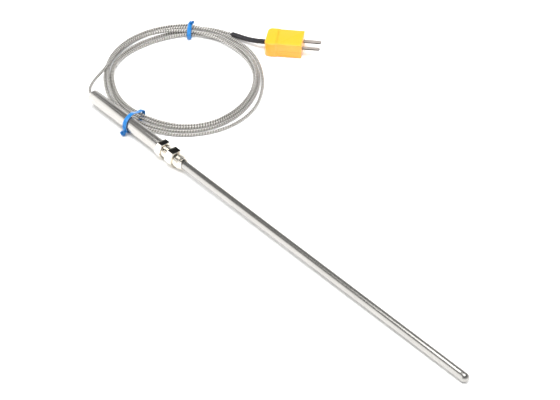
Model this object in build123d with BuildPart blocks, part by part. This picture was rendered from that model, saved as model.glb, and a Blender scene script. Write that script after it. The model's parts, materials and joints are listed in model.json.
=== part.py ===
"""Type K thermocouple probe with a sliding compression fitting, a coiled braided lead and a flat-pin plug.

Frame: millimetres. +X runs along the probe from its cable end to its tip, +Z is up, and the probe lies
on the plane z = 0, resting on the hexagons of its fitting and on its tip. The origin is under the
middle of the probe.
"""

from build123d import *
from math import atan, cos, exp, pi, radians, sin, sqrt, tan
import os

os.makedirs("parts", exist_ok=True)

# ---- Driving dimensions ---------------------------------------------------------------------------
probe_length = 314.0       # rear of the transition tube to the tip
sheath_r = 2.5             # 5 mm mineral-insulated sheath
sheath_wall = 0.5
tube_r = 4.0               # 8 mm transition tube
tube_wall = 0.5
tube_length = 66.5
hex_flats = 10.0           # both hexagons of the fitting, across flats
nut_length = 4.5
neck_length = 4.9          # between the two hexagons
body_hex_length = 5.5
thread_r = 4.0             # M8 x 1 process thread
thread_length = 5.4
pilot_r = 3.25             # plain end beyond the thread
pilot_length = 1.6
neck_r = 3.7               # thread of the body that the nut screws on
running_clearance = 0.05   # radial, for what slides or turns on the sheath

cable_r = 1.0              # braided lead, 2 mm
coil_x, coil_y = -143.2, 56.8
coil_mean_r = 49.4
coil_oval = 4.7            # how far the mean turn departs from a circle
coil_lean = -29.0          # degrees, the direction of the oval's long axis
bundle_width = 9.6         # of the turns lying together
bundle_spread = 3.1        # how much wider they fan out at the oval's ends
fan_angle = 168.0          # where the inner turns fan out loosely towards the middle
fan_spread = 30.0          # how far round the coil they do, in degrees
fan_depth = 4.7            # how far in the innermost turn comes there
coil_height = 4.7          # two strands, loosely laid

plug_x, plug_y = -130.2, 125.5
plug_turn = 41.5           # degrees, the way that the blades point
plug_length = 23.0
plug_width = 19.2          # over the ears of the cable end
plug_waist = 18.0          # between the ears and the blades
plug_thickness = 9.2
plug_ear = 6.8             # length of the ears
plug_corner = 3.4
blade_spacing = 7.9
blade_length = 11.0
blade_thickness = 0.8
blade_widths = {"negative": 3.2, "positive": 2.4}

sleeve_r = 1.5             # heat-shrink sleeve on the lead's tail
tie_width = 2.2
tie_thickness = 0.8

# ---- The probe's axis, which dips towards the tip ---------------------------------------------------
half_length = probe_length / 2
tube_rear = -half_length
tube_front = tube_rear + tube_length
nut_rear = tube_front + 0.2
nut_front = nut_rear + nut_length
body_rear = nut_front + neck_length
body_front = body_rear + body_hex_length
thread_front = body_front + thread_length
pilot_front = thread_front + pilot_length
tip_centre = half_length - sheath_r

dip = atan((hex_flats / 2 - sheath_r) / (tip_centre - nut_rear))
along = Vector(cos(dip), 0, -sin(dip))


def axis_point(station, side=0.0):
    """The point of the probe's axis at a station along +X, or one beside it by a distance in +Y."""
    return Vector(station, side, sheath_r + (tip_centre - station) * tan(dip))


probe_plane = Plane(origin=axis_point(0), x_dir=along, z_dir=(0, -1, 0))
probe_axis = Axis(axis_point(0), along)


def cross_plane(station):
    """The plane square to the probe's axis at a station, with its own Y up."""
    return Plane(origin=axis_point(station), x_dir=(0, 1, 0), z_dir=along)


def turned(*outline):
    """Turns an outline of (station, radius) corners about the probe's axis."""
    with BuildSketch(probe_plane) as profile:
        with BuildLine():
            Polyline(*outline, close=True)
        make_face()
    revolve(profile.sketch, axis=probe_axis)


def hexagon(start, end, flats):
    """A hexagonal prism from one station to another, flats up and down, with its corners chamfered."""
    with BuildSketch(cross_plane(start)) as section:
        RegularPolygon(radius=flats / 2, side_count=6, major_radius=False)
    extrude(section.sketch, amount=end - start)
    corner_r = flats / sqrt(3)
    bevel = (corner_r - flats / 2) * 0.6
    face_r = flats / 2 * 0.96
    with BuildSketch(probe_plane) as chamfers:
        with BuildLine():
            Polyline((start, 0), (start, face_r), (start + bevel, corner_r + 0.1),
                     (end - bevel, corner_r + 0.1), (end, face_r), (end, 0), close=True)
        make_face()
    revolve(chamfers.sketch, axis=probe_axis, mode=Mode.INTERSECT)


def straight_wire(start, end, radius, side):
    """A round wire beside the probe's axis and parallel to it."""
    with BuildSketch(cross_plane(start)) as section:
        with Locations((side, 0)):
            Circle(radius)
    extrude(section.sketch, amount=end - start)


def finish(piece, name):
    piece.part.label = name
    export_step(piece.part, f"parts/{name}.step")
    print(f"{name:26s} {piece.part.volume:10.2f} mm3  {len(piece.part.solids())} solid(s)")


# ---- Sheath: a drawn stainless tube packed with magnesia round two alloy wires ----------------------
sheath_rear = tube_front - 14
cap_rear = half_length - 4.5
spigot_rear = cap_rear - 2.5
sheath_bore_r = sheath_r - sheath_wall
fill_r = sheath_bore_r - 0.03
wire_r = 0.4
wire_side = 0.95
wire_hole_r = wire_r + 0.03
fill_front = spigot_rear - 2.2

with BuildPart() as sheath_tube:
    turned((sheath_rear, sheath_bore_r), (sheath_rear, sheath_r), (cap_rear, sheath_r),
           (cap_rear, sheath_bore_r))
finish(sheath_tube, "sheath_tube")

with BuildPart() as sheath_end_cap:
    with BuildSketch(probe_plane):
        with BuildLine():
            Polyline((tip_centre, sheath_r), (cap_rear, sheath_r), (cap_rear, fill_r), (spigot_rear, fill_r),
                     (spigot_rear, 0), (half_length, 0))
            RadiusArc((tip_centre, sheath_r), (half_length, 0), sheath_r)
        make_face()
    revolve(axis=probe_axis)
finish(sheath_end_cap, "sheath_end_cap")

with BuildPart() as magnesia_fill:
    turned((sheath_rear, 0), (sheath_rear, fill_r), (fill_front, fill_r), (fill_front, 0))
    with BuildSketch(cross_plane(sheath_rear)):
        with Locations((wire_side, 0), (-wire_side, 0)):
            Circle(wire_hole_r)
    extrude(amount=fill_front - sheath_rear, mode=Mode.SUBTRACT)
finish(magnesia_fill, "magnesia_fill")

wire_rear = sheath_rear - 6
for name, side in (("thermo_wire_positive", wire_side), ("thermo_wire_negative", -wire_side)):
    with BuildPart() as thermo_wire:
        straight_wire(wire_rear, fill_front + 0.2, wire_r, side)
    finish(thermo_wire, name)

with BuildPart() as hot_junction_bead:
    bead_rear = fill_front + 0.2
    bead_front = spigot_rear - 0.1
    turned((bead_rear, 0), (bead_rear, 1.5), (bead_rear + 0.5, 1.8), (bead_front - 0.6, 1.5),
           (bead_front, 0.7), (bead_front, 0))
finish(hot_junction_bead, "hot_junction_bead")

# ---- Transition tube: joins the sheath to the flexible lead ------------------------------------------
tube_bore_r = tube_r - tube_wall
bush_r = tube_bore_r - 0.02
tube_edge = 0.35
bush_rear = tube_front - 9
seal_front = tube_rear + 8

with BuildPart() as transition_tube:
    turned((tube_rear, tube_bore_r), (tube_rear, tube_r - tube_edge), (tube_rear + tube_edge, tube_r),
           (tube_front - tube_edge, tube_r), (tube_front, tube_r - tube_edge), (tube_front, tube_bore_r))
finish(transition_tube, "transition_tube")

with BuildPart() as front_bush:
    turned((bush_rear, sheath_r + 0.02), (bush_rear, bush_r), (tube_front - 0.4, bush_r),
           (tube_front - 0.1, bush_r - 0.3), (tube_front - 0.1, sheath_r + 0.02))
finish(front_bush, "front_bush")

with BuildPart() as rear_bush:
    turned((tube_rear + 0.3, cable_r + 0.02), (tube_rear + 0.3, bush_r), (seal_front, bush_r),
           (seal_front, cable_r + 0.02))
finish(rear_bush, "rear_bush")

splice_r = 0.85
splice_length = 8.0
splice_rear = wire_rear - splice_length / 2
conductor_r = 0.35
conductor_rear = seal_front + 0.2
insulation_r = 0.7
insulation_rear = seal_front + 2
insulation_front = splice_rear - 0.2

for name, side in (("splice_positive", wire_side), ("splice_negative", -wire_side)):
    with BuildPart() as splice:
        with BuildSketch(cross_plane(splice_rear)):
            with Locations((side, 0)):
                Circle(splice_r)
                Circle(wire_r + 0.02, mode=Mode.SUBTRACT)
        extrude(amount=splice_length)
    finish(splice, name)

for name, side in (("lead_conductor_positive", wire_side), ("lead_conductor_negative", -wire_side)):
    with BuildPart() as lead_conductor:
        straight_wire(conductor_rear, wire_rear - 0.2, conductor_r, side)
    finish(lead_conductor, name)

for name, side in (("insulation_positive", wire_side), ("insulation_negative", -wire_side)):
    with BuildPart() as insulation:
        with BuildSketch(cross_plane(insulation_rear)):
            with Locations((side, 0)):
                Circle(insulation_r)
                Circle(conductor_r + 0.02, mode=Mode.SUBTRACT)
        extrude(amount=insulation_front - insulation_rear)
    finish(insulation, name)

with BuildPart() as potting:
    potting_front = sheath_rear - 0.2
    turned((insulation_rear, 0), (insulation_rear, bush_r), (potting_front, bush_r), (potting_front, 0))
    with BuildSketch(cross_plane(insulation_rear)):
        with Locations((wire_side, 0), (-wire_side, 0)):
            Circle(splice_r + 0.02)
    extrude(amount=potting_front - insulation_rear, mode=Mode.SUBTRACT)
finish(potting, "potting")

# ---- Compression fitting: nut, two ferrules and a body with the process thread -----------------------
slide_bore_r = sheath_r + running_clearance
nut_wall_front = nut_rear + 1.2
nut_thread_r = neck_r + running_clearance

with BuildPart() as compression_nut:
    hexagon(nut_rear, nut_front, hex_flats)
    with BuildSketch(probe_plane):
        with BuildLine():
            Polyline((nut_rear - 1, 0), (nut_rear - 1, slide_bore_r), (nut_wall_front, slide_bore_r),
                     (nut_wall_front, nut_thread_r), (nut_front + 1, nut_thread_r), (nut_front + 1, 0),
                     close=True)
        make_face()
    revolve(axis=probe_axis, mode=Mode.SUBTRACT)
finish(compression_nut, "compression_nut")

with BuildPart() as ferrule_back:
    turned((nut_wall_front + 0.05, slide_bore_r), (nut_wall_front + 0.05, 3.4),
           (nut_wall_front + 0.75, 3.4), (nut_wall_front + 0.75, slide_bore_r))
finish(ferrule_back, "ferrule_back")

with BuildPart() as ferrule_front:
    cone_rear = nut_wall_front + 0.8
    turned((cone_rear, slide_bore_r), (cone_rear, 3.35), (cone_rear + 0.5, 3.35), (cone_rear + 2.3, 2.75),
           (cone_rear + 2.3, slide_bore_r))
finish(ferrule_front, "ferrule_front")

with BuildPart() as fitting_body:
    hexagon(body_rear, body_front, hex_flats)
    body_end = cone_rear + 0.55
    turned((body_end, 0), (body_end, neck_r - 0.3), (body_end + 0.3, neck_r), (body_rear - 0.9, neck_r),
           (body_rear - 0.7, neck_r - 0.5), (body_rear + 0.1, neck_r - 0.5), (body_rear + 0.1, 0))
    turned((body_front - 0.1, 0), (body_front - 0.1, thread_r - 0.5), (body_front + 0.6, thread_r - 0.5),
           (body_front + 0.9, thread_r), (thread_front - 0.6, thread_r), (thread_front, pilot_r),
           (pilot_front - 0.4, pilot_r), (pilot_front, pilot_r - 0.4), (pilot_front, 0))
    with BuildSketch(probe_plane):
        with BuildLine():
            Polyline((body_end - 1, 0), (body_end - 1, 3.4), (body_end, 3.4), (body_end + 2.3, 2.65),
                     (body_end + 2.3, slide_bore_r), (pilot_front + 1, slide_bore_r), (pilot_front + 1, 0),
                     close=True)
        make_face()
    revolve(axis=probe_axis, mode=Mode.SUBTRACT)
finish(fitting_body, "fitting_body")

# ---- Braided lead: a run from the tube, a loose oval coil, and a tail to the plug ---------------------
lead_points = [
    (tube_rear + 6, 0.0, 5.63),
    (tube_rear - 0.5, 0.0, 5.70),
    (tube_rear - 4.4, 0.6, 5.70),
    (-166.2, 4.9, 5.5),
    (-171.2, 11.4, 5.1),
    (-176.2, 18.7, 4.5),
    (-180.4, 26.0, 4.2),
    (-184.6, 32.0, 4.0),
]
tail_points = [
    (-183.9, 98.6, 1.15),
    (-176.6, 104.6, 1.2),
    (-168.6, 108.0, 1.5),
    (-160.3, 110.6, 1.9),
    (-151.5, 112.0, 2.9),
    (-144.3, 114.4, 3.9),
    (-139.4, 117.3, 4.6),
]
sleeve_start = 3           # the tail's point where the heat-shrink sleeve begins
plug_axis = Vector(cos(radians(plug_turn)), sin(radians(plug_turn)), 0)
plug_centre = Vector(plug_x, plug_y, plug_thickness / 2)


def plug_point(forward, left=0.0, up=0.0):
    """A point in the plug: forward to the blades, left of its axis, and above its mid plane."""
    return plug_centre + plug_axis * forward + Vector(-plug_axis.Y, plug_axis.X, 0) * left + Vector(0, 0, up)


def bend_radii(points):
    """One radius for each inner point: as large as its two runs leave room for."""
    radii = []
    for before, here, after in zip(points, points[1:], points[2:]):
        a = Vector(*here) - Vector(*before)
        b = Vector(*after) - Vector(*here)
        radii.append(0.45 * min(a.length, b.length) / tan(radians(a.get_angle(b)) / 2))
    return radii


def cord_tube(points, outer_r, inner_r=0.0):
    """A round cord, or a sleeve on one, along straight runs joined by tangent arcs."""
    radii = bend_radii(points)
    with BuildLine() as line:
        FilletPolyline(*points, radius=radii)
    route = line.wires()[0]
    with BuildSketch(Plane(origin=route @ 0, z_dir=route % 0)) as round_section:
        Circle(outer_r)
        if inner_r:
            Circle(inner_r, mode=Mode.SUBTRACT)
    sweep(round_section.sketch, path=route)
    section = pi * (outer_r**2 - inner_r**2)
    print("   bends (mm):", [round(r, 1) for r in radii], "length", round(route.length, 1),
          "section x length", round(section * route.length, 1))


def coil_edge(angle, share):
    """A point of the coil's outline: share is 1 at the outer edge and -1 at the inner one."""
    fanned = fan_depth * exp(-((((angle - fan_angle + 180) % 360) - 180) / fan_spread) ** 2)
    mean = coil_mean_r + coil_oval * cos(2 * radians(angle - coil_lean)) - fanned / 2
    width = bundle_width + bundle_spread * cos(2 * radians(angle - coil_lean + 5)) + fanned
    reach = mean + share * width / 2
    return (coil_x + reach * cos(radians(angle)), coil_y + reach * sin(radians(angle)))


with BuildPart() as lead_cable:
    cord_tube(lead_points, cable_r)
finish(lead_cable, "lead_cable")

with BuildPart() as cable_coil:
    with BuildSketch():
        with BuildLine():
            Spline(*[coil_edge(angle, 1) for angle in range(0, 360, 15)], periodic=True)
        make_face()
        with BuildLine():
            Spline(*[coil_edge(angle, -1) for angle in range(0, 360, 15)], periodic=True)
        make_face(mode=Mode.SUBTRACT)
    extrude(amount=coil_height)
    chamfer(cable_coil.faces().sort_by(Axis.Z)[-1].edges(), length=1.0)
finish(cable_coil, "cable_coil")

cable_end = tuple(plug_point(4 - plug_length / 2))
sleeve_end = tuple(plug_point(2 - plug_length / 2))
with BuildPart() as tail_cable:
    cord_tube(tail_points + [cable_end], cable_r)
finish(tail_cable, "tail_cable")

with BuildPart() as heat_shrink:
    cord_tube(tail_points[sleeve_start:] + [sleeve_end], sleeve_r, cable_r + 0.02)
finish(heat_shrink, "heat_shrink")

# ---- Twist ties ---------------------------------------------------------------------------------------
tie_station = -124.5
tie_gap = 0.25
bundle_side = coil_edge(-68, -1)[1] + tie_gap + 0.9
with BuildPart() as tie_on_probe:
    tube_centre = axis_point(tie_station)
    with BuildSketch(Plane(origin=(tie_station - tie_width / 2, 0, 0), x_dir=(0, 1, 0), z_dir=(1, 0, 0))):
        with Locations((0, tube_centre.Z)):
            Circle(tube_r + tie_gap + tie_thickness)
        with Locations((-2, 1.3), (bundle_side - 1.3, 1.3), (bundle_side - 1.6, coil_height - 0.4)):
            Circle(1.3)
        make_hull()
        offset(amount=-tie_thickness, mode=Mode.SUBTRACT)
    extrude(amount=tie_width)
    with BuildSketch(Plane(origin=(tie_station, -tube_r - 0.6, 4.6), z_dir=(0.45, -0.55, -0.62))):
        Circle(1.0)
    extrude(amount=5.4)
finish(tie_on_probe, "tie_on_probe")

tie_angle = 137.5
tie_out = Vector(*coil_edge(tie_angle, 1))
tie_in = Vector(*coil_edge(tie_angle, -1))
tie_reach = (tie_out - tie_in).length / 2 + tie_gap
tie_across = (tie_out - tie_in).normalized()
tie_middle = (tie_out + tie_in) / 2
tie_square = Vector(-tie_across.Y, tie_across.X, 0)
with BuildPart() as tie_on_coil:
    with BuildSketch(Plane(origin=tie_middle - tie_square * tie_width / 2, x_dir=tie_across,
                           z_dir=tie_square)):
        with Locations((tie_reach - 0.6, -1.6), (tie_reach - 0.6, 0.6 - coil_height), (0.6 - tie_reach, -1.6),
                       (0.6 - tie_reach, 0.6 - coil_height)):
            Circle(1.5)
        make_hull()
        offset(amount=-tie_thickness, mode=Mode.SUBTRACT)
    extrude(amount=tie_width)
    with BuildSketch(Plane(origin=tie_middle + tie_across * (tie_reach - 1) + Vector(0, 0, coil_height),
                           z_dir=tie_across * 0.4 + Vector(0, 0, 1))):
        Circle(1.0)
    extrude(amount=4.5)
finish(tie_on_coil, "tie_on_coil")

# ---- Plug: two moulded halves round two flat blades, their terminals and the lead's cores -------------
seam_gap = 0.1
wall = 1.3
lid_thickness = plug_thickness / 2 - blade_thickness / 2 - seam_gap
half_width = plug_width / 2
half_waist = plug_waist / 2
rear_end = -plug_length / 2
front_end = plug_length / 2


def plug_plane(up):
    """The plane at a height above the plug's mid plane, with its own X towards the blades."""
    return Plane(origin=plug_point(0, 0, up), x_dir=plug_axis, z_dir=(0, 0, 1))


def plug_outline():
    """The plug seen from above: rounded ears at the cable end, then a narrower waist."""
    with BuildLine() as outline:
        Polyline((rear_end + plug_corner, half_width), (rear_end + plug_ear, half_width),
                 (rear_end + plug_ear + 1.0, half_waist), (front_end, half_waist), (front_end, -half_waist),
                 (rear_end + plug_ear + 1.0, -half_waist), (rear_end + plug_ear, -half_width),
                 (rear_end + plug_corner, -half_width))
        RadiusArc((rear_end + plug_corner, -half_width), (rear_end, plug_corner - half_width), plug_corner)
        Line((rear_end, plug_corner - half_width), (rear_end, half_width - plug_corner))
        RadiusArc((rear_end, half_width - plug_corner), (rear_end + plug_corner, half_width), plug_corner)
    make_face(outline.edges())


screw_spots = [(rear_end + 4.2, half_width - 3.2), (rear_end + 4.2, 3.2 - half_width)]
entry_r = sleeve_r + 0.1
blade_slot = 0.05
pocket_x = -0.5
terminal_x = -1.6          # of the terminal screws
tab_rear, tab_front = -3.4, 0.6
tab_width = 4.2
blade_sides = ((1, "negative"), (-1, "positive"))

with BuildPart() as plug_base:
    with BuildSketch(plug_plane(plug_thickness / 2)):
        plug_outline()
    extrude(amount=-(plug_thickness - lid_thickness - seam_gap))
    chamfer(plug_base.faces().sort_by(Axis.Z)[-1].edges(), length=0.5)
    with BuildSketch(plug_plane(plug_thickness / 2 - wall)):
        with Locations((pocket_x, blade_spacing / 2), (pocket_x, -blade_spacing / 2)):
            Rectangle(8.6, 5.2)
        with Locations((rear_end + 5.0, 0)):
            Rectangle(4.4, 7.6)
    extrude(amount=-plug_thickness, mode=Mode.SUBTRACT)
    for side, name in blade_sides:
        with BuildSketch(plug_plane(blade_thickness / 2 + blade_slot)):
            with Locations((front_end / 2 + 1, side * blade_spacing / 2)):
                Rectangle(front_end + 4, blade_widths[name] + 2 * blade_slot)
        extrude(amount=-2 * blade_thickness, mode=Mode.SUBTRACT)
    with BuildSketch(Plane(origin=plug_point(rear_end - 1), z_dir=plug_axis)):
        Circle(entry_r)
    extrude(amount=5, mode=Mode.SUBTRACT)
    with BuildSketch(plug_plane(-plug_thickness / 2)):
        with Locations(*screw_spots):
            Circle(0.85)
    extrude(amount=plug_thickness - wall, mode=Mode.SUBTRACT)
finish(plug_base, "plug_base")

with BuildPart() as plug_cover:
    with BuildSketch(plug_plane(-plug_thickness / 2)):
        plug_outline()
    extrude(amount=lid_thickness)
    chamfer(plug_cover.faces().sort_by(Axis.Z)[0].edges(), length=0.5)
    with BuildSketch(plug_plane(-plug_thickness / 2 + wall)):
        with Locations((pocket_x, blade_spacing / 2), (pocket_x, -blade_spacing / 2)):
            Rectangle(8.6, 5.2)
        with Locations((rear_end + 5.0, 0)):
            Rectangle(4.4, 7.6)
    extrude(amount=plug_thickness, mode=Mode.SUBTRACT)
    with BuildSketch(Plane(origin=plug_point(rear_end - 1), z_dir=plug_axis)):
        Circle(entry_r)
    extrude(amount=5, mode=Mode.SUBTRACT)
    with BuildSketch(plug_plane(-plug_thickness / 2)):
        with Locations(*screw_spots):
            Circle(1.1)
    extrude(amount=plug_thickness, mode=Mode.SUBTRACT)
    with BuildSketch(plug_plane(-plug_thickness / 2)):
        with Locations(*screw_spots):
            Circle(2.0)
    extrude(amount=1.4, mode=Mode.SUBTRACT)
finish(plug_cover, "plug_cover")

for side, name in blade_sides:
    with BuildPart() as blade:
        with BuildSketch(plug_plane(-blade_thickness / 2)):
            with Locations(((tab_rear + tab_front) / 2, side * blade_spacing / 2)):
                Rectangle(tab_front - tab_rear, tab_width)
            with Locations(((front_end + blade_length) / 2, side * blade_spacing / 2)):
                RectangleRounded(front_end + blade_length, blade_widths[name], 1.1)
            with Locations((terminal_x, side * blade_spacing / 2)):
                Circle(0.65, mode=Mode.SUBTRACT)
        extrude(amount=blade_thickness)
    finish(blade, f"blade_{name}")

terminal_spots = [(terminal_x, blade_spacing / 2), (terminal_x, -blade_spacing / 2)]
washer_top = -blade_thickness / 2 - 0.02
head_top = washer_top - 0.38
with BuildPart() as terminal_screws:
    with BuildSketch(plug_plane(head_top)):
        with Locations(*terminal_spots):
            Circle(1.35)
    extrude(amount=-0.8)
    with BuildSketch(plug_plane(head_top)):
        with Locations(*terminal_spots):
            Circle(0.6)
    extrude(amount=2.6)
finish(terminal_screws, "terminal_screws")

with BuildPart() as terminal_washers:
    with BuildSketch(plug_plane(washer_top)):
        with Locations(*terminal_spots):
            Circle(1.5)
        with Locations(*terminal_spots):
            Circle(0.63, mode=Mode.SUBTRACT)
    extrude(amount=-0.36)
finish(terminal_washers, "terminal_washers")

with BuildPart() as cover_screws:
    for x, y in screw_spots:
        with BuildSketch(plug_plane(-plug_thickness / 2 + 0.3)):
            with Locations((x, y)):
                Circle(1.85)
        extrude(amount=1.05)
        with BuildSketch(plug_plane(-plug_thickness / 2 + 1.3)):
            with Locations((x, y)):
                Circle(0.8)
        extrude(amount=4.6)
        with BuildSketch(plug_plane(-plug_thickness / 2 + 0.3)):
            with Locations((x, y)):
                Rectangle(2.4, 0.5)
                Rectangle(0.5, 2.4)
        extrude(amount=0.5, mode=Mode.SUBTRACT)
finish(cover_screws, "cover_screws")

for side, name in blade_sides:
    with BuildPart() as plug_core:
        core_start = plug_point(rear_end + 4.3, side * 0.5)
        core_bend = plug_point(rear_end + 5.6, side * 2.2, -0.1)
        core_end = plug_point(tab_rear - 0.2, side * (blade_spacing / 2 - 0.3), -0.2)
        with BuildLine() as core_line:
            FilletPolyline(tuple(core_start), tuple(core_bend), tuple(core_end), radius=0.8)
        core_route = core_line.wires()[0]
        with BuildSketch(Plane(origin=core_route @ 0, z_dir=core_route % 0)):
            Circle(conductor_r)
        sweep(path=core_route)
    finish(plug_core, f"plug_core_{name}")
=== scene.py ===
"""A sheathed type K thermocouple: polished probe, sliding compression fitting, tied braided lead and
flat-blade plug, built round its CAD frame. Sizes are in millimetres, times mm where they are used.
"""

import json
from math import atan, cos, exp, pi, radians, sin, sqrt, tan

import bpy
from mathutils import Matrix, Vector


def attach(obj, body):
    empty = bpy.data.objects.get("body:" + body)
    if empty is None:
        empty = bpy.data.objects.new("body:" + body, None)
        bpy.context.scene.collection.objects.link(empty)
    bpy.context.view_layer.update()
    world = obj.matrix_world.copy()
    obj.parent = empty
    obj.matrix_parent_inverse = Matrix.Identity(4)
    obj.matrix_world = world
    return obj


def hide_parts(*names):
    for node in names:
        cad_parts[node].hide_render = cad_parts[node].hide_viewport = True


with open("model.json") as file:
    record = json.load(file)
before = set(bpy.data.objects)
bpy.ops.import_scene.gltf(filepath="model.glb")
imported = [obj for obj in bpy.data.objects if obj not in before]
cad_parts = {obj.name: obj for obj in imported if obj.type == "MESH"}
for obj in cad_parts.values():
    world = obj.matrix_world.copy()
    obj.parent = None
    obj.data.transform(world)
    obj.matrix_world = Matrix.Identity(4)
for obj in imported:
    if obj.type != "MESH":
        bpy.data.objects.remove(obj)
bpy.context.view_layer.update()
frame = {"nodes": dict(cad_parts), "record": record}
mm = 0.001

# ---- Camera --------------------------------------------------------------------------------------
# A medium telephoto on a stand beyond the probe's tip, looking down along the object to its coil.
eye = bpy.data.cameras.new("eye")
eye.sensor_width, eye.lens = 36.0, 113.14
eye.clip_start, eye.clip_end = 0.05, 20
camera = bpy.data.objects.new("eye", eye)
camera.location = (0.5768, -0.4715, 0.5920)
camera.rotation_euler = (radians(52.5), 0, radians(50))
bpy.context.scene.collection.objects.link(camera)
bpy.context.scene.camera = camera

# ---- Braided lead --------------------------------------------------------------------------------
# Two glass-insulated cores under a braid of stainless wire, 2 mm over all. It leaves the steel
# tube, is wound four times round a loose oval coil, and its tail goes into the plug.
lead_r = 1.0
lead_run = [(-151, 0, 5.63), (-157.5, 0, 5.70), (-162.0, 0.4, 5.70), (-167.1, 4.7, 5.5),
            (-172.1, 11.4, 5.1), (-176.2, 18.7, 4.5), (-180.4, 26.0, 4.2), (-184.6, 32.0, 4.0)]
tail_run = [(-183.9, 98.6, 1.15), (-176.6, 104.6, 1.2), (-168.6, 108.0, 1.5), (-160.3, 110.6, 1.9),
            (-151.5, 112.0, 2.9), (-144.3, 114.4, 3.9), (-139.4, 117.3, 4.6), (-134.9, 121.3, 4.6)]
coil_centre = (-143.2, 56.8)
first_angle, points_a_turn, first_step, last_step = 213.0, 20, 1, 84


coil_mean_r, coil_oval, coil_lean = 49.4, 4.7, -29     # mean radius, its swing, the long axis's angle
bundle_width, bundle_spread = 9.6, 3.1                 # width of the turns side by side, and its swing
turn_shift = 0.58                                      # how far across the bundle each turn moves out
crossing_end, crest_end = 0.34, 0.24                   # turns in which the lead comes down over the coil
coil_tie_angle, probe_tie_angle, tie_squeeze = 137.5, -68, 0.7


def near(angle, middle, spread):
    """A bell round the coil: one at the middle angle, nearly nothing beyond twice the spread."""
    return exp(-(((angle - middle + 180) % 360 - 180) / spread) ** 2)


def coil_point(step):
    """A point of the coil: the turns start at its inner edge, cross over once and work outwards."""
    turn = step / points_a_turn
    angle = first_angle - 360 * turn
    fan = near(angle, 168, 30)
    mean = coil_mean_r + coil_oval * cos(2 * radians(angle - coil_lean))
    width = bundle_width + bundle_spread * cos(2 * radians(angle - coil_lean + 5))
    place = -1 + 1.5 * (1 - turn / 0.3) ** 1.5 if turn < 0.3 else -1 + turn_shift * (turn - 0.3)
    if turn > 0.6:
        place += 0.10 * sin(2 * pi * 0.37 * turn)
    # Turns that lie closer than one lead apart climb on each other in alternate layers.
    pitch = turn_shift / 2 * (width - 2 * lead_r)
    rise = 1.42 * sqrt(4 - pitch ** 2) if pitch < 2 else 0
    height = lead_r + rise * (1 - cos(pi * (turn - 0.186))) / 2
    if turn < crossing_end:
        over = 4.1 - turn / crest_end if turn < crest_end else 3.1 - 21 * (turn - crest_end)
        height = max(over, lead_r)
    height += tie_squeeze * (near(angle, coil_tie_angle, 20) + near(angle, probe_tie_angle, 20))
    if 0.5 < turn < 2.5:
        height += 2.2 * near(angle, -74, 25) * (1 - 0.55 * (turn - 0.6))
    reach = (mean + place * (width / 2 - lead_r)) / cos(pi / points_a_turn)
    # The inner turns hang loose: away from the ties they sag towards the middle.
    if turn > 0.6:
        reach -= fan * max(0, 5.4 - 2.0 * (turn - 1))
    if turn < 3:
        reach -= 2.2 * near(angle, 14, 28) + 0.9 * near(angle, -120, 25)
    return (coil_centre[0] + reach * cos(radians(angle)),
            coil_centre[1] + reach * sin(radians(angle)), height)


lead_route = lead_run + [coil_point(step) for step in range(first_step, last_step + 1)] + tail_run
route_curve = bpy.data.curves.new("lead_route", "CURVE")
route_curve.dimensions = "3D"
route_curve.resolution_u = 10
route_line = route_curve.splines.new("NURBS")
route_line.points.add(len(lead_route) - 1)
for knot, place in zip(route_line.points, lead_route):
    knot.co = (*(Vector(place) * mm), 1)
route_line.order_u = 3
route_line.use_endpoint_u = True
route_object = bpy.data.objects.new("lead_route", route_curve)
centreline = [v.co.copy() for v in bpy.data.meshes.new_from_object(route_object).vertices]
bpy.data.objects.remove(route_object)


def walked(line, step):
    """The points that lie every so far along a line, from one end to the other."""
    gaps = [(b - a).length for a, b in zip(line, line[1:])]
    count = round(sum(gaps) / step)
    step = sum(gaps) / count
    points, done, at = [line[0]], 0.0, 0
    for n in range(1, count):
        while done + gaps[at] < n * step:
            done += gaps[at]
            at += 1
        points.append(line[at].lerp(line[at + 1], (n * step - done) / gaps[at]))
    return points + [line[-1]]


def swept(name, line, sides, radius_at):
    """A closed tube along a line, radius_at(ring, side) in radius. Its UVs are turns and millimetres."""
    verts, faces, uvs = [], [], []
    ahead = [(b - a).normalized() for a, b in zip(line, line[1:])]
    ahead = [ahead[0]] + [(a + b).normalized() for a, b in zip(ahead, ahead[1:])] + [ahead[-1]]
    out = ahead[0].orthogonal().normalized()
    run = 0.0
    runs = [0.0]
    for ring, (point, forward) in enumerate(zip(line, ahead)):
        out = (out - forward * out.dot(forward)).normalized()
        left = forward.cross(out)
        if ring:
            run += (point - line[ring - 1]).length / mm
            runs.append(run)
        for side in range(sides):
            turn = 2 * pi * side / sides
            verts.append(point + (out * cos(turn) + left * sin(turn)) * radius_at(ring, side) * mm)
    for ring in range(len(line) - 1):
        for side in range(sides):
            near_ring, far_ring = ring * sides, (ring + 1) * sides
            after = (side + 1) % sides
            faces.append((near_ring + side, near_ring + after, far_ring + after, far_ring + side))
            a, b = side / sides, (side + 1) / sides
            uvs += [(a, runs[ring]), (b, runs[ring]), (b, runs[ring + 1]), (a, runs[ring + 1])]
    for ring, order in ((0, -1), (len(line) - 1, 1)):
        faces.append([ring * sides + side for side in range(sides)][::order])
        uvs += [(0.5, runs[ring])] * sides
    mesh = bpy.data.meshes.new(name)
    mesh.from_pydata(verts, [], faces)
    layer = mesh.uv_layers.new(name="UVMap")
    layer.data.foreach_set("uv", [x for uv in uvs for x in uv])
    mesh.polygons.foreach_set("use_smooth", [True] * len(mesh.polygons))
    piece = bpy.data.objects.new(name, mesh)
    bpy.context.scene.collection.objects.link(piece)
    return piece


def linear(hex_colour):
    """An sRGB hex colour as the linear colour, with alpha, that a shader takes."""
    parts = [int(hex_colour[k:k + 2], 16) / 255 for k in (1, 3, 5)]
    return tuple(c / 12.92 if c <= 0.04045 else ((c + 0.055) / 1.055) ** 2.4 for c in parts) + (1.0,)


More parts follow.
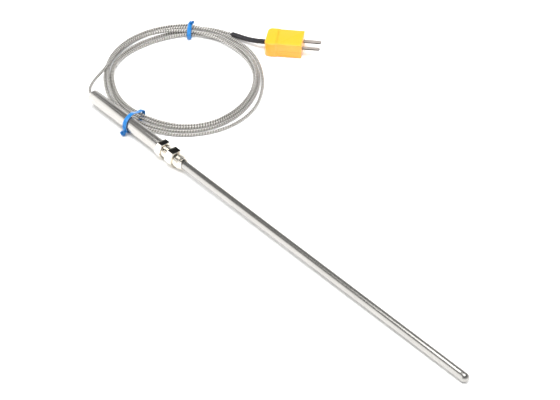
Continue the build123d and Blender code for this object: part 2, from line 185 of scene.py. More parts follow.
def add(tree, kind, inputs=(), **settings):
    """Adds a node with its settings. An input takes a value, a socket, or a node's first output."""
    node = tree.nodes.new(kind)
    for name, value in settings.items():
        setattr(node, name, value)
    for socket, value in dict(inputs).items():
        if isinstance(value, bpy.types.Node):
            value = value.outputs[0]
        if isinstance(value, bpy.types.NodeSocket):
            tree.links.new(value, node.inputs[socket])
        else:
            node.inputs[socket].default_value = value
    return node


def new_finish(name, **values):
    """A material with plain values set on its shader: returns it, its tree and the shader."""
    material = bpy.data.materials.new(name)
    material.use_nodes = True
    shader = material.node_tree.nodes["Principled BSDF"]
    for socket, value in values.items():
        shader.inputs[socket.replace("_", " ")].default_value = value
    return material, material.node_tree, shader


# Stainless steel wire, drawn and braided: eight flat strands each way. Bright where a strand lies
# on top, painted shade near black in the gaps, and a lighter painted shade in the slanted furrow
# between one row of crossings and the next. The rows lie 1.6 mm apart, coarser than on a real
# lead, to show from afar.
carriers, lay = 8, 13.0
braid_steel, tree, shader = new_finish("braided_stainless_wire", Metallic=0.55, Roughness=0.25)
uv = add(tree, "ShaderNodeSeparateXYZ", {0: add(tree, "ShaderNodeUVMap", uv_map="UVMap")})
round_phase = add(tree, "ShaderNodeMath", {0: uv.outputs[0], 1: float(carriers)}, operation="MULTIPLY")
along_phase = add(tree, "ShaderNodeMath", {0: uv.outputs[1], 1: carriers / lay}, operation="MULTIPLY")
right_hand = add(tree, "ShaderNodeMath", {0: round_phase, 1: along_phase}, operation="ADD")
left_hand = add(tree, "ShaderNodeMath", {0: round_phase, 1: along_phase}, operation="SUBTRACT")
waves = []
for hand in (right_hand, left_hand):
    half_turns = add(tree, "ShaderNodeMath", {0: hand, 1: pi}, operation="MULTIPLY")
    waves.append(add(tree, "ShaderNodeMath", {0: half_turns}, operation="SINE"))
both_waves = add(tree, "ShaderNodeMath", {0: waves[0], 1: waves[1]}, operation="MULTIPLY")
right_on_top = add(tree, "ShaderNodeMath", {0: both_waves, 1: 0.0}, operation="GREATER_THAN")
crowns = [add(tree, "ShaderNodeMath", {0: wave}, operation="ABSOLUTE") for wave in waves]
top_crown = add(tree, "ShaderNodeMix", {0: right_on_top, 2: crowns[1], 3: crowns[0]})
top_phase = add(tree, "ShaderNodeMix", {0: right_on_top, 2: left_hand, 3: right_hand})
wire = add(tree, "ShaderNodeMath", {0: add(tree, "ShaderNodeMath", {0: top_phase, 1: 2 * pi * 5},
                                           operation="MULTIPLY")}, operation="SINE")
# Painted shade: the colour goes near black in the gaps between strands, where the crowns are low.
shade = add(tree, "ShaderNodeMapRange", {0: top_crown, 1: 0.1, 2: 0.6}, interpolation_type="SMOOTHSTEP")
wear = add(tree, "ShaderNodeTexNoise", {"Vector": add(tree, "ShaderNodeTexCoord").outputs["Object"],
                                        "Scale": 900.0, "Detail": 2.0})
bright = add(tree, "ShaderNodeMix", {0: wear.outputs[0], 6: linear("#F6F4F0"), 7: linear("#DEDBD5")},
             data_type="RGBA")
strand = add(tree, "ShaderNodeMix", {0: shade, 6: linear("#2E2C29"), 7: bright.outputs[2]},
             data_type="RGBA")
# Painted shade in the slanted furrow between one row of crossings and the next.
row_phase = add(tree, "ShaderNodeMath", {0: along_phase, 1: uv.outputs[0]}, operation="ADD")
row_turn = add(tree, "ShaderNodeMath", {0: row_phase, 1: 2 * pi}, operation="MULTIPLY")
row = add(tree, "ShaderNodeMath", {0: row_turn}, operation="COSINE")
painted_furrow_shade = add(tree, "ShaderNodeMapRange", {0: row, 1: -0.6, 2: 0.3}, interpolation_type="SMOOTHSTEP")
colour = add(tree, "ShaderNodeMix", {0: painted_furrow_shade, 6: linear("#66625C"), 7: strand.outputs[2]},
             data_type="RGBA")
tree.links.new(colour.outputs[2], shader.inputs["Base Color"])
relief = add(tree, "ShaderNodeMath", {0: wire, 1: 0.15, 2: top_crown}, operation="MULTIPLY_ADD")
bump = add(tree, "ShaderNodeBump", {"Strength": 0.3, "Distance": 0.12 * mm, "Height": relief})
tree.links.new(bump.outputs[0], shader.inputs["Normal"])

ring_gap, lead_sides = lay / carriers / 4, 2 * carriers
lead_line = walked(centreline, ring_gap * mm)


def braid_radius(ring, side):
    """High where two strands of the braid cross, low in the gap between four."""
    right = abs(sin(pi / 2 * (side + ring / 2)))
    left = abs(sin(pi / 2 * (side - ring / 2)))
    row = cos(2 * pi * (ring / 4 + side / lead_sides))
    return 0.79 + 0.16 * max(right, left) * (0.4 + 0.6 * min(right, left)) + 0.05 * row


braided_lead = swept("braided_lead", lead_line, lead_sides, braid_radius)
braided_lead.data.materials.append(braid_steel)
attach(braided_lead, "probe")
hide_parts("lead_cable", "cable_coil", "tail_cable")

# ---- Transition tube -----------------------------------------------------------------------------
# Turned stainless tube, 8 mm, that joins the sheath to the lead. Both ends are deburred to a small
# round.
dip = atan(2.5 / 244.8)
tip_centre = 154.5


def deselect():
    """Leaves nothing selected, so that an operator acts on the next piece alone."""
    if bpy.context.mode != "OBJECT":
        bpy.ops.object.mode_set(mode="OBJECT")
    bpy.ops.object.select_all(action="DESELECT")


def settle(piece):
    """Applies the piece's modifiers and moves its place into its mesh."""
    deselect()
    piece.select_set(True)
    bpy.context.view_layer.objects.active = piece
    for modifier in list(piece.modifiers):
        bpy.ops.object.modifier_apply(modifier=modifier.name)
    bpy.ops.object.transform_apply(location=True, rotation=True, scale=True)


def soften(piece, width, segments=3, angle=30, smooth=40):
    """Rounds the piece's sharp edges and shades it smooth across the rest."""
    bevel = piece.modifiers.new("round", "BEVEL")
    bevel.width, bevel.segments, bevel.angle_limit = width * mm, segments, radians(angle)
    bevel.limit_method = "ANGLE"
    bevel.harden_normals = False
    settle(piece)
    bpy.ops.object.shade_smooth_by_angle(angle=radians(smooth))


def turned(name, outline, sides=96):
    """A turned piece: its outline of (station, radius) corners, spun round the probe's axis."""
    deselect()
    bpy.ops.mesh.primitive_circle_add(vertices=len(outline), radius=mm)
    piece = bpy.context.object
    piece.name = piece.data.name = name
    for vertex, (station, radius) in zip(piece.data.vertices, outline):
        vertex.co = (station * mm, 0, radius * mm)
    bpy.ops.object.mode_set(mode="EDIT")
    bpy.ops.mesh.select_all(action="SELECT")
    bpy.ops.mesh.spin(steps=sides, angle=2 * pi, center=(0, 0, 0), axis=(1, 0, 0))
    bpy.ops.mesh.select_all(action="SELECT")
    bpy.ops.mesh.remove_doubles(threshold=0.002 * mm)
    bpy.ops.mesh.delete_loose()
    bpy.ops.mesh.select_all(action="SELECT")
    bpy.ops.mesh.normals_make_consistent(inside=False)
    bpy.ops.object.mode_set(mode="OBJECT")
    return piece


def lie_on_probe(piece, body, slot, material, *nodes):
    """Lays a finished piece on the probe's dipping axis and gives it its body and finish."""
    piece.rotation_euler = (0, dip, 0)
    piece.location = (0, 0, (2.5 + tip_centre * tan(dip)) * mm)
    settle(piece)
    piece.data.materials.clear()
    piece.data.materials.append(material)
    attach(piece, body)
    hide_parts(*nodes)


# Stainless steel, turned and polished lengthwise by belt: soft long reflections with a very fine
# grain along it.
tube_steel, tree, shader = new_finish("belt_polished_stainless", Metallic=0.9)
place = add(tree, "ShaderNodeMapping", {0: add(tree, "ShaderNodeTexCoord").outputs["Object"],
                                        "Scale": (40.0, 2500.0, 2500.0)})
grain = add(tree, "ShaderNodeTexNoise", {"Vector": place, "Scale": 1.0, "Detail": 3.0})
colour = add(tree, "ShaderNodeMix", {0: grain, 6: linear("#B5B2AD"), 7: linear("#C6C4C0")},
             data_type="RGBA")
rough = add(tree, "ShaderNodeMapRange", {0: grain, 3: 0.20, 4: 0.32})
tree.links.new(colour.outputs[2], shader.inputs["Base Color"])
tree.links.new(rough.outputs[0], shader.inputs["Roughness"])
bump = add(tree, "ShaderNodeBump", {"Strength": 0.15, "Distance": 0.01 * mm, "Height": grain})
tree.links.new(bump.outputs[0], shader.inputs["Normal"])

tube_rear, tube_front = -157.0, -90.5
tube = turned("lead_tube", [(tube_rear, 3.5), (tube_rear, 4.0), (tube_front, 4.0), (tube_front, 3.5)])
soften(tube, 0.35)
lie_on_probe(tube, "probe", "tube_steel", tube_steel, "transition_tube")

# ---- Sheath --------------------------------------------------------------------------------------
# Drawn 5 mm stainless sheath, 225 mm in front of its fitting, with a round cap welded on and
# dressed flush.
sheath_steel, tree, shader = new_finish("drawn_stainless", Metallic=0.9)
place = add(tree, "ShaderNodeMapping", {0: add(tree, "ShaderNodeTexCoord").outputs["Object"],
                                        "Scale": (30.0, 3000.0, 3000.0)})
grain = add(tree, "ShaderNodeTexNoise", {"Vector": place, "Scale": 1.0, "Detail": 3.0})
cloud = add(tree, "ShaderNodeTexNoise", {"Vector": add(tree, "ShaderNodeTexCoord").outputs["Object"],
                                         "Scale": 90.0, "Detail": 2.0})
colour = add(tree, "ShaderNodeMix", {0: cloud, 6: linear("#A9A7A3"), 7: linear("#B7B5B1")},
             data_type="RGBA")
rough = add(tree, "ShaderNodeMapRange", {0: grain, 3: 0.16, 4: 0.26})
tree.links.new(colour.outputs[2], shader.inputs["Base Color"])
tree.links.new(rough.outputs[0], shader.inputs["Roughness"])
bump = add(tree, "ShaderNodeBump", {"Strength": 0.15, "Distance": 0.01 * mm, "Height": grain})
tree.links.new(bump.outputs[0], shader.inputs["Normal"])

sheath_rear, weld = -104.5, 152.5
round_tip = [(tip_centre + 2.5 * sin(a), 2.5 * cos(a)) for a in [radians(9 * k) for k in range(11)]]
inner_end = [(weld - 2.5, 0), (weld - 2.5, 1.97), (weld, 1.97), (weld, 2.0)]
sheath = turned("sheath", [(sheath_rear, 2.0), (sheath_rear, 2.5), (weld - 0.15, 2.5), (weld, 2.485),
                           (weld + 0.15, 2.5)] + round_tip + inner_end)
settle(sheath)
bpy.ops.object.shade_smooth_by_angle(angle=radians(40))
lie_on_probe(sheath, "probe", "sheath_steel", sheath_steel, "sheath_tube", "sheath_end_cap")

# ---- Compression nut -----------------------------------------------------------------------------
# Hexagon bar, 10 mm across flats, turned and chamfered at both ends, polished bright. It runs on
# the body's neck.
fitting_steel, tree, shader = new_finish("polished_bright_steel", Metallic=1.0)
place = add(tree, "ShaderNodeTexCoord").outputs["Object"]
turning = add(tree, "ShaderNodeTexWave",
              {"Vector": place, "Scale": 2200.0, "Distortion": 1.5, "Detail": 1.0},
              bands_direction="X")
smear = add(tree, "ShaderNodeTexNoise", {"Vector": place, "Scale": 350.0, "Detail": 3.0})
colour = add(tree, "ShaderNodeMix", {0: smear, 6: linear("#F1ECE3"), 7: linear("#DFD9CE")},
             data_type="RGBA")
rough = add(tree, "ShaderNodeMapRange", {0: smear, 3: 0.06, 4: 0.14})
tree.links.new(colour.outputs[2], shader.inputs["Base Color"])
tree.links.new(rough.outputs[0], shader.inputs["Roughness"])
tree.links.new(add(tree, "ShaderNodeBump", {"Strength": 0.08, "Distance": 0.01 * mm,
                                            "Height": turning}).outputs[0], shader.inputs["Normal"])

flats, bore_r = 10.0, 2.55
corner_r = flats / sqrt(3)
face_r, chamfer = 4.8, (corner_r - flats / 2) * 0.6


def hexagon(name, start, end, ring):
    """Hexagon bar between two stations, cut by a turned ring that leaves its chamfers and its bore."""
    deselect()
    bpy.ops.mesh.primitive_cylinder_add(vertices=6, radius=corner_r * mm, depth=(end - start) * mm,
                                        location=((start + end) / 2 * mm, 0, 0), rotation=(0, pi / 2, 0))
    bar = bpy.context.object
    bar.name = bar.data.name = name
    cutter = turned("cutter", ring)
    keep = bar.modifiers.new("keep", "BOOLEAN")
    keep.operation, keep.solver, keep.object = "INTERSECT", "EXACT", cutter
    settle(bar)
    bpy.data.objects.remove(cutter)
    return bar


nut_rear, nut_front, neck_r = -90.3, -85.8, 3.7
nut = hexagon("union_nut", nut_rear, nut_front, [
    (nut_rear, bore_r), (nut_rear, face_r), (nut_rear + chamfer, corner_r + 0.1),
    (nut_front - chamfer, corner_r + 0.1), (nut_front, face_r), (nut_front, neck_r + 0.05),
    (nut_rear + 1.2, neck_r + 0.05), (nut_rear + 1.2, bore_r)])
soften(nut, 0.12, segments=2, smooth=20)
lie_on_probe(nut, "nut", "fitting_steel", fitting_steel, "compression_nut")

# ---- Fitting body --------------------------------------------------------------------------------
# One turned piece of hexagon bar: a threaded neck that the nut screws on, the hexagon, the M8 x 1
# process thread and a plain pilot. Both threads are rolled ridges of 1 mm pitch.
body_rear, body_front, thread_front, pilot_front = -80.9, -75.4, -70.0, -68.4
body_end = nut_rear + 1.2 + 0.8 + 0.55
hexagon_body = hexagon("fitting_hexagon", body_rear, body_front, [
    (body_rear, 3.0), (body_rear, face_r), (body_rear + chamfer, corner_r + 0.1),
    (body_front - chamfer, corner_r + 0.1), (body_front, face_r), (body_front, 3.0)])
soften(hexagon_body, 0.12, segments=2, smooth=20)
root = 0.5
core = turned("fitting_core", [
    (body_end, 3.4), (body_end, neck_r - root), (body_rear + 0.2, neck_r - root), (body_rear + 0.2, 3.9),
    (body_front - 0.2, 3.9), (body_front - 0.2, 4.0 - root), (thread_front - 0.1, 4.0 - root),
    (thread_front, 3.25), (pilot_front - 0.4, 3.25), (pilot_front, 2.85), (pilot_front, bore_r),
    (body_end + 2.3, bore_r), (body_end + 2.3, 2.65)])
settle(core)
bpy.ops.object.shade_smooth_by_angle(angle=radians(30))


def thread_ridge(name, start, end, crest_r, pitch=1.0, steps=48):
    """The ridge of a right-hand thread: one V profile screwed along the axis, closed at its two ends."""
    deselect()
    bpy.ops.mesh.primitive_circle_add(vertices=4, radius=mm, fill_type="NGON")
    ridge = bpy.context.object
    ridge.name = ridge.data.name = name
    foot, tip = 0.46 * pitch, 0.09 * pitch
    profile = [(start, crest_r - root - 0.05), (start + foot - tip, crest_r), (start + foot + tip, crest_r),
               (start + 2 * foot, crest_r - root - 0.05)]
    for vertex, (station, radius) in zip(ridge.data.vertices, profile):
        vertex.co = (station * mm, 0, radius * mm)
    turns = (end - start - 2 * foot) / pitch
    bpy.ops.object.mode_set(mode="EDIT")
    bpy.ops.mesh.select_all(action="SELECT")
    count = round(turns * steps)
    for step in range(count):
        bpy.ops.mesh.extrude_region_move(TRANSFORM_OT_translate={"value": (pitch / steps * mm, 0, 0)})
        bpy.ops.transform.rotate(value=-2 * pi / steps, orient_axis="X", center_override=(0, 0, 0))
    bpy.ops.mesh.select_all(action="SELECT")
    bpy.ops.mesh.normals_make_consistent(inside=False)
    bpy.ops.object.mode_set(mode="OBJECT")
    bpy.ops.object.shade_smooth_by_angle(angle=radians(30))
    return ridge


ridges = [thread_ridge("process_thread", body_front + 0.6, thread_front - 0.2, 4.0),
          thread_ridge("nut_thread", nut_front - 0.8, body_rear - 0.6, neck_r)]
deselect()
for part in [core] + ridges + [hexagon_body]:
    part.select_set(True)
bpy.context.view_layer.objects.active = hexagon_body
bpy.ops.object.join()
lie_on_probe(hexagon_body, "fitting", "fitting_steel", fitting_steel, "fitting_body")

# ---- Heat-shrink sleeve --------------------------------------------------------------------------
# Black polyolefin sleeve, about 3 mm across, shrunk on the lead's tail and held in the plug.
sleeve_rubber, tree, shader = new_finish("shrunk_polyolefin", Roughness=0.42)
place = add(tree, "ShaderNodeTexCoord").outputs["Object"]
bloom = add(tree, "ShaderNodeTexNoise", {"Vector": place, "Scale": 400.0, "Detail": 4.0})
colour = add(tree, "ShaderNodeMix", {0: bloom, 6: linear("#17151A"), 7: linear("#2C292E")},
             data_type="RGBA")
tree.links.new(colour.outputs[2], shader.inputs["Base Color"])
bump = add(tree, "ShaderNodeBump", {"Strength": 0.3, "Distance": 0.05 * mm, "Height": bloom})
tree.links.new(bump.outputs[0], shader.inputs["Normal"])

sleeve_start = Vector((-163.0, 109.7, 1.7)) * mm
sleeve_stop = Vector((-137.4, 119.1, 4.6)) * mm
tail_line = walked(centreline, 0.4 * mm)
nearest = [min(range(len(tail_line)), key=lambda n, to=to: (tail_line[n] - to).length)
           for to in (sleeve_start, sleeve_stop)]
sleeve_line = tail_line[nearest[0]:nearest[1] + 1]


def sleeve_radius(ring, side):
    """A drawn-in mouth, then a nearly even sleeve that shows the braid under it as faint waves."""
    mouth = min(1.0, ring / 3)
    return 1.15 + 0.43 * sqrt(mouth) + 0.03 * sin(ring * 0.9)


sleeve = swept("shrink_sleeve", sleeve_line, 24, sleeve_radius)
sleeve.data.materials.append(sleeve_rubber)
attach(sleeve, "probe")
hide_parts("heat_shrink")

# ---- Twist ties ----------------------------------------------------------------------------------
# Flat blue PVC ribbon with a steel wire in its middle. One ties the coil on the far side, the other
# ties it to the steel tube; each is drawn round and its two ends are twisted together.
tie_pvc, tree, shader = new_finish("extruded_blue_pvc", Roughness=0.3, Coat_Weight=0.2,
                                   Coat_Roughness=0.2)
place = add(tree, "ShaderNodeTexCoord").outputs["Object"]
crease = add(tree, "ShaderNodeTexNoise", {"Vector": place, "Scale": 700.0, "Detail": 3.0})
colour = add(tree, "ShaderNodeMix", {0: crease, 6: linear("#0A5CA0"), 7: linear("#1F80C8")},
             data_type="RGBA")
tree.links.new(colour.outputs[2], shader.inputs["Base Color"])
bump = add(tree, "ShaderNodeBump", {"Strength": 0.4, "Distance": 0.1 * mm, "Height": crease})
tree.links.new(bump.outputs[0], shader.inputs["Normal"])
tie_section = [(-1.3, 0.0), (-1.15, 0.18), (-0.5, 0.2), (-0.2, 0.38), (0.2, 0.38), (0.5, 0.2), (1.15, 0.18),
               (1.3, 0.0), (1.15, -0.18), (0.5, -0.2), (-0.5, -0.2), (-1.15, -0.18)]


def smooth_line(points, closed):
    """A smooth line led by its corner points."""
    curve = bpy.data.curves.new("line", "CURVE")
    curve.dimensions, curve.resolution_u = "3D", 6
    spline = curve.splines.new("NURBS")
    spline.points.add(len(points) - 1)
    for knot, point in zip(spline.points, points):
        knot.co = (*point, 1)
    spline.order_u, spline.use_cyclic_u, spline.use_endpoint_u = 3, closed, not closed
    holder = bpy.data.objects.new("line", curve)
    line = [v.co.copy() for v in bpy.data.meshes.new_from_object(holder).vertices]
    bpy.data.objects.remove(holder)
    return line


def ribbon(name, line, across_at, closed):
    """The tie's section carried along a line. across_at(n) points across its width there."""
    count, sides = len(line), len(tie_section)
    verts, faces = [], []
    for n, point in enumerate(line):
        before = line[n - 1] if n or closed else line[0]
        after = line[(n + 1) % count] if n + 1 < count or closed else line[-1]
        forward = (after - before).normalized()
        across = across_at(n)
        across = (across - forward * across.dot(forward)).normalized()
        up = across.cross(forward)
        verts += [point + (across * a + up * b) * mm for a, b in tie_section]
    for n in range(count if closed else count - 1):
        near_ring, far_ring = n * sides, (n + 1) % count * sides
        faces += [(near_ring + k, near_ring + (k + 1) % sides, far_ring + (k + 1) % sides, far_ring + k)
                  for k in range(sides)]
    if not closed:
        faces += [list(range(sides))[::-1], [(count - 1) * sides + k for k in range(sides)]]
    mesh = bpy.data.meshes.new(name)
    mesh.from_pydata(verts, [], faces)
    piece = bpy.data.objects.new(name, mesh)
    bpy.context.scene.collection.objects.link(piece)
    return piece


def twisted_ends(name, spine, turns):
    """The tie's two ends, wound round each other along a spine."""
    ends = []
    for phase in (0, pi):
        def across(n, phase=phase):
            forward = (spine[min(n + 1, len(spine) - 1)] - spine[max(n - 1, 0)]).normalized()
            out = forward.orthogonal().normalized()
            return Matrix.Rotation(2 * pi * turns * n / (len(spine) - 1) + phase, 3, forward) @ out
        line = []
        for n, point in enumerate(spine):
            forward = (spine[min(n + 1, len(spine) - 1)] - spine[max(n - 1, 0)]).normalized()
            line.append(point + forward.cross(across(n)) * 0.42 * mm)
        ends.append(ribbon(name, line, across, False))
    return ends


def finish_tie(name, pieces, node):
    """Joins a tie's loop and ends into one piece and gives it its body and finish."""
    deselect()
    for piece in pieces:
        piece.select_set(True)
    bpy.context.view_layer.objects.active = pieces[0]
    bpy.ops.object.join()
    tie = pieces[0]
    tie.name = tie.data.name = name
    bpy.ops.object.mode_set(mode="EDIT")
    bpy.ops.mesh.select_all(action="SELECT")
    bpy.ops.mesh.normals_make_consistent(inside=False)
    bpy.ops.object.mode_set(mode="OBJECT")
    bpy.ops.object.shade_smooth_by_angle(angle=radians(50))
    tie.data.materials.append(tie_pvc)
    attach(tie, "probe")
    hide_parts(node)
    return tie


probe_tie_x, probe_tie_slant = -122.6, -0.42
probe_loop = [Vector((probe_tie_x + probe_tie_slant * (y - 3), y, z)) * mm for y, z in (
    (14.9, 3.2), (14.7, 5.0), (13.0, 6.1), (10.3, 6.6), (7.2, 7.9), (4.0, 9.9), (0.5, 10.3), (-3.0, 9.6),
    (-4.9, 7.6), (-5.1, 5.0), (-4.6, 2.6), (-3.0, 0.8), (0.0, 0.45), (5.0, 0.45), (10.0, 0.45), (13.6, 0.5),
    (14.8, 1.3))]
probe_tie_line = smooth_line(probe_loop, True)
probe_tail = smooth_line([Vector(p) * mm for p in (
    (-119.6, -5.0, 6.0), (-119.0, -5.3, 4.0), (-118.8, -5.6, 2.4), (-118.9, -6.0, 1.5), (-120.0, -6.2, 1.5),
    (-121.2, -5.8, 1.6))], False)
probe_tie_side = Vector((1, -probe_tie_slant, 0))
probe_tie_loop = ribbon("loop", probe_tie_line, lambda n: probe_tie_side, True)
tie_to_probe = finish_tie("twist_tie_at_tube",
                          [probe_tie_loop] + twisted_ends("end", probe_tail, 2.0), "tie_on_probe")

tie_angle = radians(138.5)
tie_out = Vector((cos(tie_angle), sin(tie_angle), 0))
tie_side = Vector((-tie_out.y, tie_out.x, 0))
tie_middle = Vector((coil_centre[0], coil_centre[1], 0)) + tie_out * 52.2
coil_loop = [(tie_middle + tie_out * r + Vector((0, 0, z))) * mm for r, z in (
    (7.6, 1.4), (7.5, 3.2), (6.4, 4.8), (3.5, 5.7), (0.0, 5.9), (-3.5, 5.7), (-7.0, 5.0),
    (-7.9, 3.4), (-7.9, 1.4), (-6.8, 0.45), (-2.0, 0.4), (2.0, 0.4), (6.8, 0.45))]
coil_tie_line = smooth_line(coil_loop, True)
coil_tail = smooth_line([(tie_middle + tie_out * r + tie_side * s + Vector((0, 0, z))) * mm for r, s, z in (
    (3.4, 0.0, 5.7), (3.4, -0.4, 6.3), (3.0, -1.1, 6.8), (2.2, -1.9, 7.2))], False)
tie_to_coil = finish_tie("twist_tie_at_coil", [ribbon("loop", coil_tie_line, lambda n: tie_side, True)]
                         + twisted_ends("end", coil_tail, 1.5), "tie_on_coil")

# ---- Plug halves ---------------------------------------------------------------------------------
# Glass-filled yellow nylon, moulded in two halves with rounded ears at the cable end. Two screws
# hold them shut.
plug_yellow, tree, shader = new_finish("moulded_yellow_nylon", Specular_IOR_Level=0.7, Coat_Weight=0.6,
                                      Coat_Roughness=0.35)
place = add(tree, "ShaderNodeTexCoord").outputs["Object"]
flow = add(tree, "ShaderNodeTexNoise", {"Vector": place, "Scale": 130.0, "Detail": 3.0})
spark = add(tree, "ShaderNodeTexNoise", {"Vector": place, "Scale": 3500.0, "Detail": 2.0})
colour = add(tree, "ShaderNodeMix", {0: flow, 6: linear("#F6AA04"), 7: linear("#F0A202")},
             data_type="RGBA")
rough = add(tree, "ShaderNodeMapRange", {0: flow, 3: 0.30, 4: 0.42})
tree.links.new(colour.outputs[2], shader.inputs["Base Color"])
tree.links.new(rough.outputs[0], shader.inputs["Roughness"])
bump = add(tree, "ShaderNodeBump", {"Strength": 0.2, "Distance": 0.03 * mm, "Height": spark})
tree.links.new(bump.outputs[0], shader.inputs["Normal"])

plug_turn = radians(41.5)
plug_place = Vector((-130.2, 125.5, 4.6)) * mm
plug_length, plug_width, plug_waist, plug_thickness = 23.0, 19.2, 18.0, 9.2
ear, corner = 6.8, 3.4
rear, front = -plug_length / 2, plug_length / 2
blade_spacing, blade_thickness = 7.9, 0.8


def cut(piece, size, centre, shape="BOX"):
    """Cuts a box, or a round hole along the plug or through it, out of a piece."""
    deselect()
    if shape == "BOX":
        bpy.ops.mesh.primitive_cube_add(size=1, location=Vector(centre) * mm)
        bpy.context.object.scale = Vector(size) * mm
    else:
        turn = (0, pi / 2, 0) if shape == "ALONG" else (0, 0, 0)
        bpy.ops.mesh.primitive_cylinder_add(vertices=48, radius=size[0] * mm, depth=size[1] * mm,
                                            location=Vector(centre) * mm, rotation=turn)
    tool = bpy.context.object
    away = piece.modifiers.new("cut", "BOOLEAN")
    away.operation, away.solver, away.object = "DIFFERENCE", "EXACT", tool
    settle(piece)
    bpy.data.objects.remove(tool)


def plug_half(name, low, high):
    """One moulded half between two heights, its outline shaped and its top edges rounded."""
    deselect()
    bpy.ops.mesh.primitive_cube_add(size=1, location=(0, 0, (low + high) / 2 * mm))
    half = bpy.context.object
    half.name = half.data.name = name
    half.scale = (plug_length * mm, plug_width * mm, (high - low) * mm)
    settle(half)
    bpy.ops.object.mode_set(mode="EDIT")
    for station in (rear + ear, rear + ear + 1.0):
        bpy.ops.mesh.select_all(action="SELECT")
        bpy.ops.mesh.bisect(plane_co=(station * mm, 0, 0), plane_no=(1, 0, 0))
    bpy.ops.mesh.select_all(action="DESELECT")
    bpy.ops.object.mode_set(mode="OBJECT")
    for vertex in half.data.vertices:
        vertex.select = vertex.co.x > (rear + ear + 0.5) * mm
    bpy.ops.object.mode_set(mode="EDIT")
    bpy.ops.transform.resize(value=(1, plug_waist / plug_width, 1), center_override=(0, 0, 0))
    bpy.ops.mesh.select_all(action="DESELECT")
    bpy.ops.mesh.select_mode(type="EDGE")
    for limit, offset, segments in ((lambda p: p.x < (rear + 0.1) * mm, corner, 10),
                                    (lambda p: p.x > (front - 0.1) * mm, 0.5, 3),
                                    (lambda p: abs(p.x - (rear + ear + 0.5) * mm) < 0.6 * mm, 0.45, 3)):
        bpy.ops.object.mode_set(mode="OBJECT")
        points = half.data.vertices
        for edge in half.data.edges:
            a, b = (points[v].co for v in edge.vertices)
            upright = abs(a.x - b.x) < 1e-6 and abs(a.y - b.y) < 1e-6
            edge.select = upright and limit(a)
        bpy.ops.object.mode_set(mode="EDIT")
        bpy.ops.mesh.bevel(offset=offset * mm, segments=segments, affect="EDGES")
        bpy.ops.mesh.select_all(action="DESELECT")
    bpy.ops.object.mode_set(mode="OBJECT")
    caps = [f for f in half.data.polygons if f.normal.z > 0.9]
    rims = {key for f in caps for key in f.edge_keys if sum(key in g.edge_keys for g in caps) == 1}
    for edge in half.data.edges:
        edge.select = tuple(sorted(edge.vertices)) in {tuple(sorted(k)) for k in rims}
    bpy.ops.object.mode_set(mode="EDIT")
    bpy.ops.mesh.bevel(offset=0.5 * mm, segments=4, affect="EDGES")
    bpy.ops.mesh.select_mode(type="VERT")
    bpy.ops.object.mode_set(mode="OBJECT")
    return half


wall, seam_low, seam_high = 1.3, -0.5, -0.4
half_height = plug_thickness / 2
upper = plug_half("plug_upper_half", seam_high, half_height)
lower = plug_half("plug_lower_half", -seam_low, half_height)
lower.rotation_euler = (pi, 0, 0)
settle(lower)
for y in (5.5, -5.5):
    cut(lower, (1.1, 12), (rear + 4.2, y, -half_height), "UP")
    cut(lower, (1.95, 2.5), (rear + 4.2, y, -half_height), "UP")
for y, width in ((3.95, 3.3), (-3.95, 2.5)):
    cut(upper, (14.3, width, 2 * blade_thickness + 0.1), (6.15, y, 0.45 - blade_thickness - 0.05))
for half in (upper, lower):
    cut(half, (1.6, 5), (rear + 1.5, 0, 0), "ALONG")
    for x, y, length, width in ((-0.5, 3.95, 8.6, 5.2), (-0.5, -3.95, 8.6, 5.2),
                                (rear + 5.0, 0, 4.3, 7.5)):
        cut(half, (length, width, 2 * (half_height - wall)), (x, y, 0))
for half, node in ((upper, "plug_base"), (lower, "plug_cover")):
    half.rotation_euler = (0, 0, plug_turn)
    half.location = plug_place
    settle(half)
    bpy.ops.object.shade_smooth_by_angle(angle=radians(32))
    half.data.materials.clear()
    half.data.materials.append(plug_yellow)
    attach(half, "probe")
    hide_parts(node)

# ---- Blades --------------------------------------------------------------------------------------
# Punched from thermocouple alloy strip, 0.8 mm thick: the wide one negative, the narrow one
# positive. The rolled faces are dull grey; the punched edges are painted dark as shade.
blade_face, tree, shader = new_finish("rolled_alloy_strip", Metallic=0.2)
place = add(tree, "ShaderNodeTexCoord").outputs["Object"]
tarnish = add(tree, "ShaderNodeTexNoise", {"Vector": place, "Scale": 500.0, "Detail": 4.0})
colour = add(tree, "ShaderNodeMix", {0: tarnish, 6: linear("#A39C96"), 7: linear("#857E78")},
             data_type="RGBA")
rough = add(tree, "ShaderNodeMapRange", {0: tarnish, 3: 0.35, 4: 0.5})
tree.links.new(colour.outputs[2], shader.inputs["Base Color"])
tree.links.new(rough.outputs[0], shader.inputs["Roughness"])
# Painted shade: a darker copy of the strip's grey for the punched edges.
blade_edge_painted_shade, tree, shader = new_finish("punched_edge_painted_shade", Metallic=0.2, Roughness=0.6)
place = add(tree, "ShaderNodeTexCoord").outputs["Object"]
burr = add(tree, "ShaderNodeTexNoise", {"Vector": place, "Scale": 2000.0, "Detail": 3.0})
colour = add(tree, "ShaderNodeMix", {0: burr, 6: linear("#2B2725"), 7: linear("#4A4441")},
             data_type="RGBA")
tree.links.new(colour.outputs[2], shader.inputs["Base Color"])

